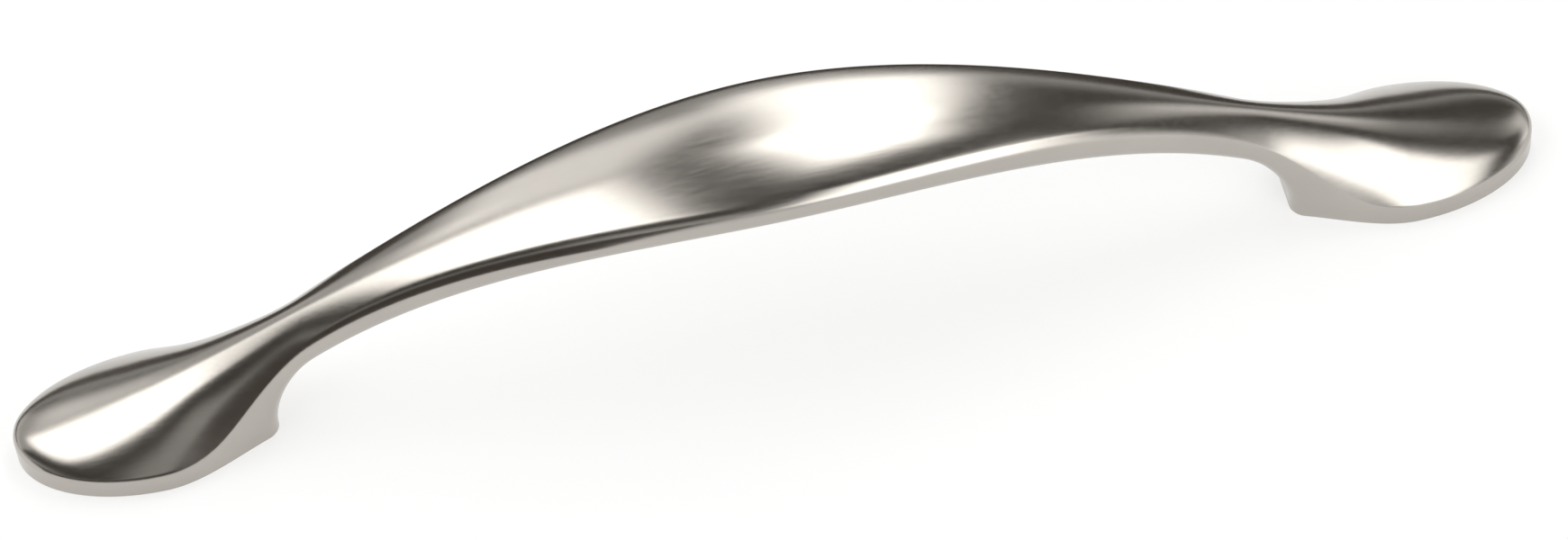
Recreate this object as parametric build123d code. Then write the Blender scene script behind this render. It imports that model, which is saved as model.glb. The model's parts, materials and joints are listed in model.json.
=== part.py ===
from build123d import *
import math
import os

# Spoon foot cabinet pull: one zinc casting, a bowed grip that narrows to two necks and widens to feet.
# Millimetres. X runs along the pull, Y across it, +Z away from the drawer front. The origin is midway
# between the two screw holes, on the plane that the feet sit on. Both ends and both sides are alike.

# Lengths along X
hole_spacing = 96.0        # centre to centre of the two screw holes
tip_reach = 18.0           # from a hole's axis out to the tip of its foot
foot_reach = 6.2           # from a hole's axis out to the widest place of its foot
neck_setback = 7.6         # from a hole's axis in to the narrowest place of the neck
heel_setback = 4.0         # from a hole's axis in to the heel, where the leg meets the drawer front

# Widths along Y
grip_width = 14.1          # at the middle of the grip
neck_width = 5.3           # at the narrowest place of each neck
foot_width = 13.4          # at the widest place of each foot
tip_flat = 0.5             # of the small flat left at the tip of each foot

# Side edge, where the crowned top would meet the flank if the turn between them were sharp
edge_height = 21.0         # at the middle of the grip
rim_height = 1.9           # round the end of each foot
edge_shoulder = 13.8       # from the foot's widest place in to where the level edge would start to fall
rim_run = 6.8              # length over which the falling edge turns level and becomes the foot's rim

# Crest, the line along the middle of the crowned top
grip_crown = 1.7           # rise of the crest over the side edge at the middle of the grip
crest_shoulder = 14.5      # from a hole's axis in to where the level crest would start to fall
ridge_setback = 5.0        # from a hole's axis in to where the falling crest would turn into the foot's ridge
ridge_height = 5.0         # height of that turn
nose_height = 4.2          # height at which the ridge would reach the tip, if the nose weren't rounded
nose_power = 0.65          # how fast the crown falls with the width round the nose
nose_fullness = 0.5        # how much fuller than a parabola the section of the crown grows towards the tip

# Roll of the side edge: radius of the turn from the crown into the upright flank
grip_roll = 1.7
neck_roll = 1.5
foot_roll = 1.2

# Opening under the arch
grip_thickness = 4.0       # from the crest of the crown to the underside at the middle
neck_thickness = 4.6       # the same at each neck
leg_radius = 9.0           # round between the underside and the upright leg
finger_round = 1.0         # rounding of the long lower edges

# Screw holes, tapped M4
tap_radius = 1.65
tap_depth = 4.9
mouth_chamfer = 0.4

# Fineness of the curved skin and of the searches
skin_stations = 13         # sections between the middle of the grip and the widest place of a foot
end_stations = 10          # sections between the widest place of a foot and its tip
curve_precision = 1e-9     # share of a curve's run to which a place on it is found
touching = 0.001           # closer than this counts as on a surface

hole_x = hole_spacing / 2
tip_x = hole_x + tip_reach
foot_x = hole_x + foot_reach
neck_x = hole_x - neck_setback
heel_x = hole_x - heel_setback
trim_depth = leg_radius    # the unfinished body reaches this far below the drawer front
tip_angle = math.acos(tip_flat / foot_width)

edge_line = Bezier(
    (0, 0, edge_height),
    (foot_x - edge_shoulder, 0, edge_height),
    (foot_x - rim_run, 0, rim_height),
    (foot_x - rim_run, 0, rim_height),
    (foot_x, 0, rim_height),
)

crest_line = Bezier(
    (0, 0, edge_height + grip_crown),
    (hole_x - crest_shoulder, 0, edge_height + grip_crown),
    (hole_x - ridge_setback, 0, ridge_height),
    (tip_x, 0, nose_height),
)


def height_on(line, x):
    """Height at x of a curve that runs out along +X, found by halving."""
    low, high = 0.0, 1.0
    while high - low > curve_precision:
        middle = (low + high) / 2
        if (line @ middle).X < x:
            low = middle
        else:
            high = middle
    return (line @ low).Z


def end_share(x):
    """Share of the foot's width that is left at x: 1 up to its widest place, then falling as an ellipse."""
    if x <= foot_x:
        return 1.0
    along = (x - foot_x) / (tip_x - foot_x) * math.sin(tip_angle)
    return math.sqrt(1 - along * along)


def s_curve(x, grip_value, neck_value, foot_value):
    """Value at x of a smooth wave that is level at the middle, the neck and the foot's widest place."""
    start, end, low, high = 0.0, neck_x, grip_value, neck_value
    if x > neck_x:
        start, end, low, high = neck_x, foot_x, neck_value, foot_value
    share = min(1.0, (x - start) / (end - start))
    return low + (high - low) * share * share * (3 - 2 * share)


def half_width(x):
    return s_curve(x, grip_width, neck_width, foot_width) / 2 * end_share(x)


def edge_roll(x):
    return s_curve(x, grip_roll, neck_roll, foot_roll) * end_share(x)


def edge_z(x):
    return height_on(edge_line, x) if x < foot_x else rim_height


def crown_rise(x):
    return (height_on(crest_line, x) - edge_z(x)) * end_share(x) ** nose_power


def crown_power(x):
    """Power of the crown's fall across the width: 1, a parabola, and less from the foot's widest place on."""
    along = max(0.0, x - foot_x) / (tip_x - foot_x)
    return 1 - nose_fullness * along * along


def crown_drop(x, across):
    """Fall of the crown at x below its crest, at a share of the half width."""
    return crown_rise(x) * (1 - (1 - across * across) ** crown_power(x))


def crown_slope(x, across):
    power = crown_power(x)
    steepness = 2 * power * across * (1 - across * across) ** (power - 1)
    return crown_rise(x) * steepness / half_width(x)


def roll_start(x):
    """Share of the half width at which the crown at x runs into the roll of the side edge."""
    width = half_width(x)
    low, high = 0.0, 1.0
    while high - low > curve_precision:
        middle = (low + high) / 2
        lean = math.atan(crown_slope(x, middle))
        if width * middle + edge_roll(x) * (1 - math.sin(lean)) < width:
            low = middle
        else:
            high = middle
    return low


def half_section(x):
    """The -Y half of the section at x, from the trim depth below the drawer front up to the crown."""
    width = half_width(x)
    roll = edge_roll(x)
    crest = edge_z(x) + crown_rise(x)
    start = roll_start(x)
    start_y = width * start
    start_z = crest - crown_drop(x, start)
    slope = crown_slope(x, start)
    corner_y = start_y - (crest - start_z) / slope
    crown = Bezier((0, 0, crest), (0, -corner_y, crest), (0, -start_y, start_z))
    turn = math.pi / 2 - math.atan(slope)
    centre_y = width - roll
    centre_z = start_z - roll * math.sin(turn)
    halfway = (0, -centre_y - roll * math.cos(turn / 2), centre_z + roll * math.sin(turn / 2))
    flank = ThreePointArc((0, -start_y, start_z), halfway, (0, -width, centre_z))
    walls = Polyline((0, -width, centre_z), (0, -width, -trim_depth), (0, 0, -trim_depth), (0, 0, crest))
    return make_face([crown, flank, *walls.edges()])


def half_skin():
    """The -Y half of the body between the widest places of the feet, not yet opened under the arch."""
    sections = []
    for step in range(-skin_stations, skin_stations + 1):
        x = foot_x * math.sin(math.pi / 2 * step / skin_stations)
        sections.append(Pos(x, 0, 0) * half_section(abs(x)))
    return loft(sections)


def half_end():
    """The -Y half of the rounded end of the +X foot."""
    sections = []
    for step in range(end_stations + 1):
        along = math.sin(tip_angle * step / end_stations) / math.sin(tip_angle)
        x = foot_x + (tip_x - foot_x) * along
        sections.append(Pos(x, 0, 0) * half_section(x))
    return loft(sections)


def opening():
    """Space for the fingers, between the underside of the grip and the drawer front."""
    middle_z = edge_height + grip_crown - grip_thickness
    neck_z = height_on(crest_line, neck_x) - neck_thickness
    sag = middle_z - neck_z
    radius = (neck_x**2 + sag**2) / (2 * sag)
    heel_z = middle_z - radius + math.sqrt(radius**2 - heel_x**2)
    floor_z = -2 * trim_depth
    arch = ThreePointArc((-heel_x, heel_z), (0, middle_z), (heel_x, heel_z))
    legs = Polyline((heel_x, heel_z), (heel_x, floor_z), (-heel_x, floor_z), (-heel_x, heel_z))
    face = make_face([arch, *legs.edges()])
    corners = face.vertices().sort_by(Axis.Y)[-2:]
    rounded = fillet(corners, leg_radius)
    return extrude(Plane.XZ * rounded, amount=foot_width, both=True)


def screw_hole():
    """One tapped blind hole, with its chamfered mouth on the drawer front."""
    on_base = (Align.CENTER, Align.CENTER, Align.MIN)
    bore = Cylinder(tap_radius, tap_depth, align=on_base)
    mouth = Cone(tap_radius + mouth_chamfer, tap_radius, mouth_chamfer, align=on_base)
    return bore + mouth


def long_lower_edges(body, gap):
    """Edges where the flanks meet the opening: they lie on its wall, off the middle plane."""
    edges = []
    for edge in body.edges():
        middle = edge @ 0.5
        if gap.distance_to(middle) < touching and abs(middle.Y) > touching:
            edges.append(edge)
    return edges


def pull():
    end = half_end()
    near = half_skin() + end + mirror(end, Plane.YZ)
    gap = opening()
    body = near + mirror(near, Plane.XZ) - gap
    body = fillet(long_lower_edges(body, gap), finger_round)
    body = split(body, Plane.XY, keep=Keep.TOP)
    for side in (-1, 1):
        body = body - Pos(side * hole_x, 0, 0) * screw_hole()
    return body


os.makedirs("parts", exist_ok=True)
export_step(pull(), "parts/pull.step")
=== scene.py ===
import json
import math
import bmesh
import bpy
from mathutils import Matrix, Vector


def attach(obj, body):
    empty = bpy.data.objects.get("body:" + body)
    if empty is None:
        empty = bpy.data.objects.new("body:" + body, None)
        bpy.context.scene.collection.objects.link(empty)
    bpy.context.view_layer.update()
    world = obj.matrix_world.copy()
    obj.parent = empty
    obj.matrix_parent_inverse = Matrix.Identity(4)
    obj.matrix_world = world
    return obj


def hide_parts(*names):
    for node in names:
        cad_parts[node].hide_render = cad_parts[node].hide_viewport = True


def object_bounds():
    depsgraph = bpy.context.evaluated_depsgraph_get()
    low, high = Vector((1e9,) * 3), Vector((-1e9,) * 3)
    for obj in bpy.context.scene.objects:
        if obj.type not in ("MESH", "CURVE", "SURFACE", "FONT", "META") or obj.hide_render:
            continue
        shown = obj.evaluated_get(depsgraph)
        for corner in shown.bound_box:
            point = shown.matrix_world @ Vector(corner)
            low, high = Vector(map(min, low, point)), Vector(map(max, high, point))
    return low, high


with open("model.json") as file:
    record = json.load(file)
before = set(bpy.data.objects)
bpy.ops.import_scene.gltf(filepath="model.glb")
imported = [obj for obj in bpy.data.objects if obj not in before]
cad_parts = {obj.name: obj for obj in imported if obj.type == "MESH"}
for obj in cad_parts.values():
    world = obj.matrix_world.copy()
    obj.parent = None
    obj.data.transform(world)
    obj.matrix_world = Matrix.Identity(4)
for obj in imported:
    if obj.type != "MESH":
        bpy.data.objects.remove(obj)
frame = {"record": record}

# Spoon foot cabinet pull in satin nickel, lying on a white table under studio softboxes.
# Lengths of the pull are in millimetres, as in the part's source, and become metres in the mesh.
# Lengths of the camera, the table, the cards, the lights and the material are in metres.
MILLIMETRE = 0.001

cad_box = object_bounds()
mounts = {mount["name"]: mount for mount in frame["record"]["mounts"]}
hole_pattern = mounts["screw_holes"]["dims"]

# Sizes that the frame gives
tip_x = cad_box[1].x / MILLIMETRE
grip_width = 2 * cad_box[1].y / MILLIMETRE
crest_top = cad_box[1].z / MILLIMETRE
hole_x = hole_pattern["spacing_x_mm"] / 2
tap_radius = hole_pattern["hole_r_mm"]

# Sizes of the casting's form, the same as in the part's source
foot_reach = 6.2           # from a hole's axis out to the widest place of its foot
neck_setback = 7.6         # from a hole's axis in to the narrowest place of the neck
heel_setback = 4.0         # from a hole's axis in to the heel, where the leg meets the table
neck_width = 5.3
foot_width = 13.4
rim_height = 1.9           # height of the side edge round the end of each foot
edge_shoulder = 13.8       # from the foot's widest place in to where the level edge would start to fall
rim_run = 6.8              # length over which the falling edge turns level and becomes the foot's rim
grip_crown = 1.7           # rise of the crest over the side edge at the middle of the grip
crest_shoulder = 14.5      # from a hole's axis in to where the level crest would start to fall
ridge_setback = 5.0        # from a hole's axis in to where the crest would turn into the foot's ridge
ridge_height = 5.0         # height of that turn
nose_height = 4.2          # height at which the ridge would reach the tip, if the nose weren't rounded
nose_power = 0.65          # how fast the crown falls with the width round the nose
nose_fullness = 0.5        # how much fuller than a parabola the section grows towards the tip
grip_roll = 1.7            # radius of the turn from the crown into the flank, at the middle of the grip
neck_roll = 1.5            # the same at each neck
foot_roll = 1.2            # the same at the widest place of each foot
grip_thickness = 4.0       # from the crest to the underside at the middle
neck_thickness = 4.6       # the same at each neck
leg_radius = 9.0           # round between the underside and the upright leg
finger_round = 1.0         # rounding of the long lower edges
tap_depth = 4.9
mouth_chamfer = 0.4

foot_x = hole_x + foot_reach
neck_x = hole_x - neck_setback
heel_x = hole_x - heel_setback
edge_height = crest_top - grip_crown

# M4 thread in the two holes
thread_pitch = 0.7
thread_depth = 0.35
thread_end = 4.4           # height at which the thread has run out
thread_runout = 0.5        # length over which it runs out
groove_flat = 0.15         # share of the groove's depth that is cut off at its top and at its bottom

# Fineness of the mesh, in steps
ARCH_STEPS = 120
LEG_STEPS = 22
HEEL_STEPS = 2
FOOT_STEPS = 26
END_STEPS = 30
CROWN_STEPS = 30
ROLL_STEPS = 10
FLANK_STEPS = 8
ROUND_STEPS = 6
UNDER_STEPS = 5
HOLE_SIDES = 48
STEPS_PER_PITCH = 10

heel_lead = 2.5            # how far a station's crown lies beyond its lower end at the heel
PRECISION = 1e-9           # share of a curve's run to which a place on it is found
MERGE_DISTANCE = 1e-7      # points of the mesh that are closer than this, in metres, become one
SHARP_TURN = 35            # degrees: edges that turn by more stay sharp

edge_line = [
    (0.0, edge_height),
    (foot_x - edge_shoulder, edge_height),
    (foot_x - rim_run, rim_height),
    (foot_x - rim_run, rim_height),
    (foot_x, rim_height),
]
crest_line = [
    (0.0, crest_top),
    (hole_x - crest_shoulder, crest_top),
    (hole_x - ridge_setback, ridge_height),
    (tip_x, nose_height),
]


def smooth_step(share):
    return share * share * (3 - 2 * share)


def s_curve(x, grip_value, neck_value, foot_value):
    """Value at x of a smooth wave that is level at the middle, the neck and the foot's widest place."""
    if x > neck_x:
        return neck_value + (foot_value - neck_value) * smooth_step((x - neck_x) / (foot_x - neck_x))
    return grip_value + (neck_value - grip_value) * smooth_step(x / neck_x)


def end_share(x):
    """Share of the foot's width that is left at x: 1 up to its widest place, then falling as an ellipse."""
    along = min(1.0, max(0.0, x - foot_x) / (tip_x - foot_x))
    return math.sqrt(1 - along * along)


def half_width(x):
    return s_curve(min(x, foot_x), grip_width, neck_width, foot_width) / 2 * end_share(x)


def edge_roll(x):
    return s_curve(min(x, foot_x), grip_roll, neck_roll, foot_roll) * end_share(x)


def height_on(line, x):
    """Height at x of a Bezier curve through (x, z) control points, found by halving."""
    order = len(line) - 1

    def at(share, axis):
        total = 0.0
        for index, point in enumerate(line):
            weight = math.comb(order, index) * share**index * (1 - share) ** (order - index)
            total += weight * point[axis]
        return total

    low, high = 0.0, 1.0
    while high - low > PRECISION:
        middle = (low + high) / 2
        if at(middle, 0) < x:
            low = middle
        else:
            high = middle
    return at(low, 1)


def edge_z(x):
    return height_on(edge_line, x) if x < foot_x else rim_height


def crown_rise(x):
    return (height_on(crest_line, x) - edge_z(x)) * end_share(x) ** nose_power


def crown_power(x):
    """Power of the crown's fall across the width: 1, a parabola, and less from the foot's widest place on."""
    along = max(0.0, x - foot_x) / (tip_x - foot_x)
    return 1 - nose_fullness * along * along


def crown_fall(x, across):
    """Share of the crown's rise at x that is lost at a share of the half width."""
    return 1 - (1 - across * across) ** crown_power(x)


def crown_steepness(x, across):
    """How fast that share grows with the share of the half width."""
    power = crown_power(x)
    return 2 * power * across * (1 - across * across) ** (power - 1)


def crown_lean(x, across):
    """Angle of the crown from level at x, at a share of the half width."""
    return math.atan2(crown_rise(x) * crown_steepness(x, across), half_width(x))


def roll_start(x):
    """Share of the half width at which the crown at x runs into the roll of the side edge."""
    width = half_width(x)
    roll = edge_roll(x)
    low, high = 0.0, 1.0
    while high - low > PRECISION:
        middle = (low + high) / 2
        if width * middle + roll * (1 - math.sin(crown_lean(x, middle))) <= width:
            low = middle
        else:
            high = middle
    return low


def arch_circle():
    """Height of the centre, and radius, of the circle that the underside of the grip follows."""
    middle_z = crest_top - grip_thickness
    neck_z = height_on(crest_line, neck_x) - neck_thickness
    sag = middle_z - neck_z
    radius = (neck_x**2 + sag**2) / (2 * sag)
    return middle_z - radius, radius


def stations():
    """Places along half of the pull: (x of the crown, foot of the flank, way into the metal or None).

    The foot and the way are pairs along X and Z. Under the arch and down the leg the foot of the flank
    is on the opening's wall, and the way into the metal is square to that wall. Past the heel the foot
    is on the base, and has no such way.
    """
    arch_z, arch_radius = arch_circle()
    leg_x = heel_x - leg_radius
    leg_z = arch_z + math.sqrt((arch_radius - leg_radius) ** 2 - leg_x**2)
    lean = math.atan2(leg_x, leg_z - arch_z)
    heel_crown_x = heel_x + finger_round + heel_lead
    places = []
    for step in range(ARCH_STEPS + 1):
        share = step / ARCH_STEPS
        way = (math.sin(lean * share), math.cos(lean * share))
        foot = (arch_radius * way[0], arch_z + arch_radius * way[1])
        places.append((foot[0] + heel_lead * share**3, foot, way))
    leg_crown_x = places[-1][0]
    for step in range(1, LEG_STEPS + HEEL_STEPS + 1):
        crown_x = leg_crown_x + (heel_crown_x - leg_crown_x) * step / (LEG_STEPS + HEEL_STEPS)
        angle = lean + (math.pi / 2 - lean) * min(1.0, step / LEG_STEPS)
        drop = max(0.0, (step - LEG_STEPS) / HEEL_STEPS)
        way = (math.sin(angle), math.cos(angle))
        foot = (leg_x + leg_radius * way[0], leg_z * (1 - drop) + leg_radius * way[1])
        places.append((crown_x, foot, way))
    for step in range(1, FOOT_STEPS + 1):
        share = step / FOOT_STEPS
        crown_x = heel_crown_x + (foot_x - heel_crown_x) * share
        places.append((crown_x, (crown_x - heel_lead * (1 - smooth_step(share)), 0.0), None))
    for step in range(1, END_STEPS + 1):
        x = foot_x + (tip_x - foot_x) * math.sin(math.pi / 2 * step / END_STEPS)
        places.append((x, (x, 0.0), None))
    return places


def ring(crown_x, foot, way):
    """Points of a quarter of the pull at one station, from the crest over the -Y flank to the underside."""
    points = []
    width = half_width(crown_x)
    roll = edge_roll(crown_x)
    crest = edge_z(crown_x) + crown_rise(crown_x)
    start = roll_start(crown_x)
    fall = crown_fall(crown_x, start)
    drop = crown_rise(crown_x) * fall
    corner_y = width * (start - fall / crown_steepness(crown_x, start))
    for step in range(CROWN_STEPS + 1):
        share = step / CROWN_STEPS
        y = 2 * share * (1 - share) * corner_y + share * share * width * start
        points.append((crown_x, -y, crest - drop * share * share))
    turn = math.pi / 2 - crown_lean(crown_x, start)
    roll_z = crest - drop - roll * math.sin(turn)
    for step in range(1, ROLL_STEPS + 1):
        angle = turn * (1 - step / ROLL_STEPS)
        points.append((crown_x, roll - width - roll * math.cos(angle), roll_z + roll * math.sin(angle)))
    flank_x, flank_z = foot
    if way:
        flank_x += way[0] * finger_round
        flank_z += way[1] * finger_round
    for step in range(1, FLANK_STEPS + 1):
        share = step / FLANK_STEPS
        x = crown_x + (flank_x - crown_x) * share
        points.append((x, -half_width(x), roll_z + (flank_z - roll_z) * share))
    if way is None:
        return points
    for step in range(1, ROUND_STEPS + 1):
        turn = math.pi / 2 * (1 - step / ROUND_STEPS)
        depth = finger_round * (1 - math.cos(turn))
        x = foot[0] + way[0] * depth
        points.append((x, finger_round * (1 - math.sin(turn)) - half_width(x), foot[1] + way[1] * depth))
    inner_y = points[-1][1]
    for step in range(1, UNDER_STEPS + 1):
        points.append((foot[0], inner_y * (1 - step / UNDER_STEPS), foot[1]))
    return points


def add_grid(builder, rows, flip):
    """Joins rows of points with four-sided faces, as far as the shorter of two neighbours goes."""
    made = [[builder.verts.new(Vector(point) * MILLIMETRE) for point in row] for row in rows]
    for first, second in zip(made, made[1:]):
        for column in range(min(len(first), len(second)) - 1):
            corners = [first[column], first[column + 1], second[column + 1], second[column]]
            builder.faces.new(reversed(corners) if flip else corners)
    return made


def thread_radius(turn, height):
    """Radius of the tapped hole at one height and turn, with its chamfered mouth and thread run-out."""
    place = (height / thread_pitch - turn) % 1.0
    pointed = 1 - abs(2 * place - 1)
    groove = min(1.0, max(0.0, (1 + 2 * groove_flat) * pointed - groove_flat))
    fade = min(1.0, max(0.0, (thread_end - height) / thread_runout))
    mouth = tap_radius + mouth_chamfer - height
    return max(mouth, tap_radius + thread_depth * groove * fade)


def add_hole(builder, centre_x):
    """Adds one tapped blind hole, open at the base and closed at its end."""
    levels = round(tap_depth / thread_pitch * STEPS_PER_PITCH)
    rows = []
    for level in range(levels + 1):
        height = tap_depth * level / levels
        row = []
        for side in range(HOLE_SIDES + 1):
            turn = side / HOLE_SIDES
            angle = 2 * math.pi * turn
            radius = thread_radius(turn, height)
            row.append((centre_x + radius * math.cos(angle), radius * math.sin(angle), height))
        rows.append(row)
    made = add_grid(builder, rows, False)
    builder.faces.new(made[-1][:-1])


def casting_mesh():
    """Mesh of the whole casting: four mirrored quarters, two tapped holes and the flat bases."""
    builder = bmesh.new()
    rows = [ring(*place) for place in stations()]
    for side_x in (1, -1):
        for side_y in (1, -1):
            mirrored = [[(side_x * x, side_y * y, z) for x, y, z in row] for row in rows]
            add_grid(builder, mirrored, side_x * side_y < 0)
        add_hole(builder, side_x * hole_x)
    bmesh.ops.remove_doubles(builder, verts=builder.verts, dist=MERGE_DISTANCE)
    bmesh.ops.dissolve_degenerate(builder, edges=builder.edges, dist=MERGE_DISTANCE)
    rims = [edge for edge in builder.edges if edge.is_boundary]
    for side_x in (1, -1):
        base = [edge for edge in rims if edge.verts[0].co.x * side_x > 0]
        bmesh.ops.triangle_fill(builder, use_beauty=True, edges=base, normal=(0, 0, -1))
    bmesh.ops.recalc_face_normals(builder, faces=builder.faces)
    mesh = bpy.data.meshes.new("pull_casting")
    builder.to_mesh(mesh)
    builder.free()
    mesh.shade_smooth()
    mesh.set_sharp_from_angle(angle=math.radians(SHARP_TURN))
    return mesh


def link(name, data):
    """Puts new data into the scene as an object."""
    thing = bpy.data.objects.new(name, data)
    bpy.context.scene.collection.objects.link(thing)
    return thing


casting = link("pull_casting", casting_mesh())
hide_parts("pull")
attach(casting, "root")

# Satin nickel: tints of its faint clouds, and a fine grain drawn out along the pull
METAL_DARK = (0.447, 0.422, 0.386, 1)
METAL_LIGHT = (0.477, 0.451, 0.412, 1)
cloud_scale = 140.0        # clouds per metre
grain_scale = 4500.0       # grains per metre across the pull
grain_stretch = 0.06       # share of that along the pull
grain_roughness = (0.17, 0.26)
grain_depth = 0.00002
grain_strength = 0.08


def satin_nickel():
    """Warm grey plated metal: fine grain drawn out along the pull, with faint cloudy changes in its tint."""
    material = bpy.data.materials.new("satin_nickel")
    material.use_nodes = True
    tree = material.node_tree
    shader = tree.nodes["Principled BSDF"]
    shader.inputs["Metallic"].default_value = 1.0
    place = tree.nodes.new("ShaderNodeTexCoord")

    clouds = tree.nodes.new("ShaderNodeTexNoise")
    clouds.inputs["Scale"].default_value = cloud_scale
    clouds.inputs["Detail"].default_value = 4.0
    tree.links.new(place.outputs["Object"], clouds.inputs["Vector"])
    tint = tree.nodes.new("ShaderNodeValToRGB")
    dark, light = tint.color_ramp.elements
    dark.position = 0.3
    dark.color = METAL_DARK
    light.position = 0.7
    light.color = METAL_LIGHT
    tree.links.new(clouds.outputs["Fac"], tint.inputs["Fac"])
    tree.links.new(tint.outputs["Color"], shader.inputs["Base Color"])

    stretch = tree.nodes.new("ShaderNodeMapping")
    stretch.inputs["Scale"].default_value = (grain_stretch, 1.0, 1.0)
    tree.links.new(place.outputs["Object"], stretch.inputs["Vector"])
    grain = tree.nodes.new("ShaderNodeTexNoise")
    grain.inputs["Scale"].default_value = grain_scale
    grain.inputs["Detail"].default_value = 3.0
    tree.links.new(stretch.outputs["Vector"], grain.inputs["Vector"])
    sheen = tree.nodes.new("ShaderNodeMapRange")
    sheen.inputs["To Min"].default_value = grain_roughness[0]
    sheen.inputs["To Max"].default_value = grain_roughness[1]
    tree.links.new(grain.outputs["Fac"], sheen.inputs["Value"])
    tree.links.new(sheen.outputs["Result"], shader.inputs["Roughness"])
    bump = tree.nodes.new("ShaderNodeBump")
    bump.inputs["Strength"].default_value = grain_strength
    bump.inputs["Distance"].default_value = grain_depth
    tree.links.new(grain.outputs["Fac"], bump.inputs["Height"])
    tree.links.new(bump.outputs["Normal"], shader.inputs["Normal"])
    return material


casting.data.materials.append(satin_nickel())

# Camera at the photograph's viewing angle
IMAGE_WIDTH = 1741
IMAGE_HEIGHT = 600
SENSOR_WIDTH = 36.0        # millimetres
camera_elevation = math.radians(54.0)
camera_yaw = math.radians(8.292)
camera_roll = math.radians(5.379)
camera_distance = 0.4702
focal_pixels = 6133.4
origin_pixel_x = 868.4     # where the part's origin lies in the image
origin_pixel_y = 324.46


def add_camera():
    data = bpy.data.cameras.new("camera")
    data.sensor_width = SENSOR_WIDTH
    data.lens = focal_pixels * SENSOR_WIDTH / IMAGE_WIDTH
    data.shift_x = (IMAGE_WIDTH / 2 - origin_pixel_x) / IMAGE_WIDTH
    data.shift_y = (origin_pixel_y - IMAGE_HEIGHT / 2) / IMAGE_WIDTH
    camera = link("camera", data)
    level = math.cos(camera_elevation)
    sideways = -level * math.sin(camera_yaw)
    back = Vector((sideways, -level * math.cos(camera_yaw), math.sin(camera_elevation)))
    camera.location = back * camera_distance
    camera.rotation_mode = "QUATERNION"
    upright = back.to_track_quat("Z", "Y")
    camera.rotation_quaternion = upright @ Matrix.Rotation(-camera_roll, 4, "Z").to_quaternion()
    bpy.context.scene.camera = camera


# Table of the studio, and dark cards that paint shade into the metal's reflections
TABLE_TONE = (0.30, 0.30, 0.30, 1)
TABLE_GLOW = (1.0, 0.998, 0.994, 1)
table_glow_strength = 0.68
table_reach = 3.0          # from the middle to each side
table_level = -0.00002     # just under the bases of the feet
# Tone of the dark cards: painted shade that only the metal's reflections show
SHADE_CARD_TONE = (0.060, 0.050, 0.042, 1)
card_foot_level = 0.0002   # height of a card's near edge over the table
matte_roughness = 0.9


def add_sheet(name, corners, tone):
    """Flat matte sheet of the studio. Returns its object and its shader."""
    mesh = bpy.data.meshes.new(name)
    mesh.from_pydata(corners, [], [(0, 1, 2, 3)])
    material = bpy.data.materials.new(name)
    material.use_nodes = True
    shader = material.node_tree.nodes["Principled BSDF"]
    shader.inputs["Base Color"].default_value = tone
    shader.inputs["Roughness"].default_value = matte_roughness
    shader.inputs["Specular IOR Level"].default_value = 0.0
    mesh.materials.append(material)
    return link(name, mesh), shader


def add_floor():
    """White table that glows a little, so that it stays even where the softboxes fall off."""
    corners = []
    for side_x, side_y in ((-1, -1), (1, -1), (1, 1), (-1, 1)):
        corners.append((side_x * table_reach, side_y * table_reach, table_level))
    floor, shader = add_sheet("floor", corners, TABLE_TONE)
    shader.inputs["Emission Color"].default_value = TABLE_GLOW
    shader.inputs["Emission Strength"].default_value = table_glow_strength


def add_shade_card(name, low_x, high_x, near_y, far_y, far_z):
    """Dark card that leans up from the table, away from the pull. Only the metal reflects it: painted shade,
    darker than the white table that it hides in the reflections.
    """
    near = [(low_x, near_y, card_foot_level), (high_x, near_y, card_foot_level)]
    far = [(high_x, far_y, far_z), (low_x, far_y, far_z)]
    card, _ = add_sheet(name, near + far, SHADE_CARD_TONE)
    card.visible_camera = False
    card.visible_diffuse = False
    card.visible_shadow = False


# Sky of the studio, from the horizon up to where it is darkest
HORIZON_TONE = (0.88, 0.88, 0.88, 1)
UPPER_TONE = (0.055, 0.050, 0.045, 1)
upper_height = 0.40        # sine of the elevation from which the upper tone holds


def add_world():
    """Dim studio, paler towards the horizon."""
    world = bpy.data.worlds.new("studio")
    bpy.context.scene.world = world
    world.use_nodes = True
    tree = world.node_tree
    place = tree.nodes.new("ShaderNodeTexCoord")
    split = tree.nodes.new("ShaderNodeSeparateXYZ")
    fade = tree.nodes.new("ShaderNodeValToRGB")
    horizon, upper = fade.color_ramp.elements
    horizon.position = 0.0
    horizon.color = HORIZON_TONE
    upper.position = upper_height
    upper.color = UPPER_TONE
    tree.links.new(place.outputs["Generated"], split.inputs["Vector"])
    tree.links.new(split.outputs["Z"], fade.inputs["Fac"])
    tree.links.new(fade.outputs["Color"], tree.nodes["Background"].inputs["Color"])


# Softboxes with soft edges
SOFTBOX_LAYERS = 3
softbox_fade = 0.08        # range of sizes over which the layers of a softbox are spread
layer_gap = 0.002          # between one layer and the next, because lights in one plane don't add up


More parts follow.
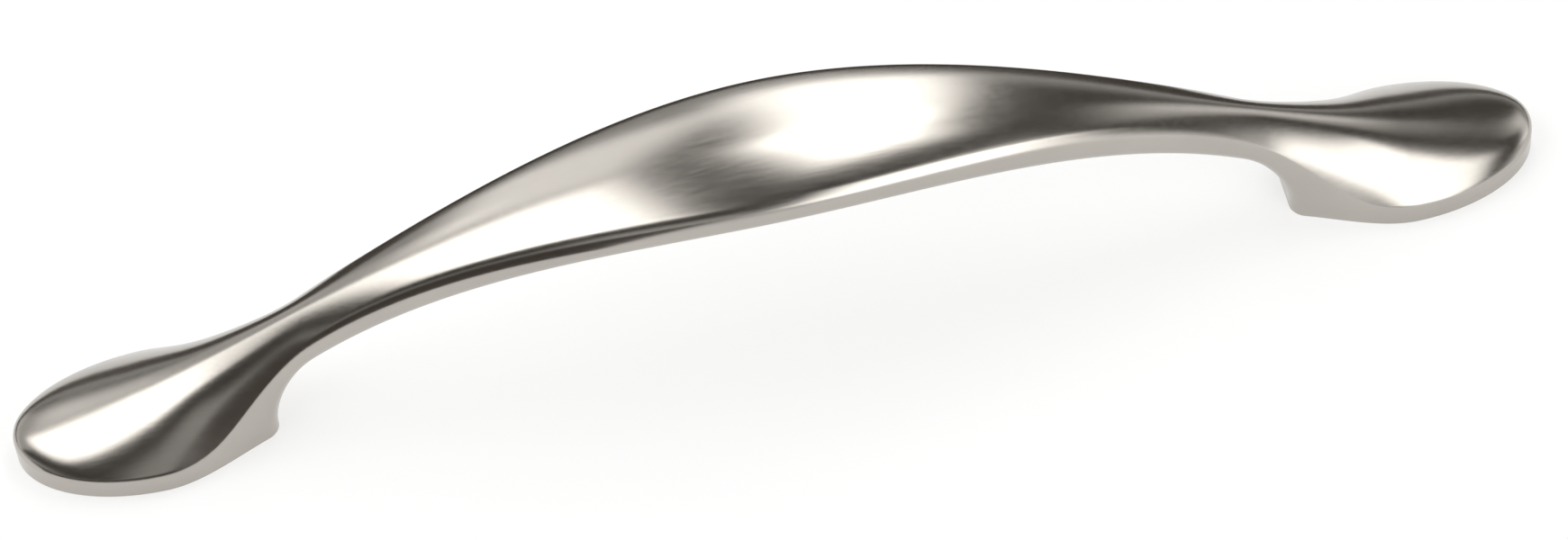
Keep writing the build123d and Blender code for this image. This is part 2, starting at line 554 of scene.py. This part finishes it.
def add_softbox(name, azimuth, elevation, distance, width, height, roll, brightness):
    """Rectangular light that faces the pull. Azimuth 0 is behind it and 90 at its right, in degrees.

    Lights of growing size lie behind each other and add up, so that the softbox fades out at its edges.
    Brightness is the radiance where all of them overlap.
    """
    level = math.cos(math.radians(elevation))
    turn = math.radians(azimuth)
    out = Vector((level * math.sin(turn), level * math.cos(turn), math.sin(math.radians(elevation))))
    rolled = Matrix.Rotation(math.radians(-roll), 4, "Z").to_quaternion()
    for layer in range(SOFTBOX_LAYERS):
        spread = softbox_fade * ((layer + 0.5) / SOFTBOX_LAYERS - 0.5)
        data = bpy.data.lights.new(f"{name}_{layer}", "AREA")
        data.shape = "RECTANGLE"
        data.size = width + spread
        data.size_y = height + spread
        data.energy = brightness / SOFTBOX_LAYERS * math.pi * data.size * data.size_y
        softbox = link(data.name, data)
        softbox.location = out * (distance + layer * layer_gap)
        softbox.rotation_mode = "QUATERNION"
        softbox.rotation_quaternion = out.to_track_quat("Z", "Y") @ rolled
        softbox.visible_camera = False


add_camera()
add_floor()
add_world()
# Painted shade: the cards darken the table that the metal reflects in front of and behind the pull
add_shade_card("shade_card_back", low_x=-0.4, high_x=0.4, near_y=0.028, far_y=0.4, far_z=0.07)
add_shade_card("shade_card_front", low_x=-0.4, high_x=-0.020, near_y=-0.025, far_y=-0.3, far_z=0.10)
add_softbox("left_overhead", azimuth=-90, elevation=59, distance=0.262,
            width=0.235, height=0.175, roll=-6, brightness=3.0)
add_softbox("back_strip", azimuth=20, elevation=42, distance=0.267,
            width=0.10, height=0.23, roll=-17, brightness=3.0)
add_softbox("back_high", azimuth=43, elevation=68, distance=0.285,
            width=0.123, height=0.09, roll=32, brightness=4.0)
add_softbox("front_right", azimuth=148, elevation=30, distance=0.244,
            width=0.15, height=0.22, roll=29, brightness=2.7)
add_softbox("left_back", azimuth=-24, elevation=38, distance=0.224,
            width=0.12, height=0.15, roll=41, brightness=1.4)
add_softbox("low_left", azimuth=-61, elevation=24, distance=0.33,
            width=0.28, height=0.19, roll=4, brightness=0.5)
add_softbox("low_right", azimuth=82, elevation=19, distance=0.30,
            width=0.235, height=0.10, roll=-32, brightness=0.95)
add_softbox("right_fill", azimuth=124, elevation=48, distance=0.20,
            width=0.09, height=0.07, roll=20, brightness=0.7)
add_softbox("right_streak", azimuth=80, elevation=36, distance=0.28,
            width=0.06, height=0.04, roll=0, brightness=0.6)
add_softbox("front_fill", azimuth=-165, elevation=25, distance=0.298,
            width=0.13, height=0.12, roll=0, brightness=0.38)
bpy.context.scene.view_settings.view_transform = "Standard"
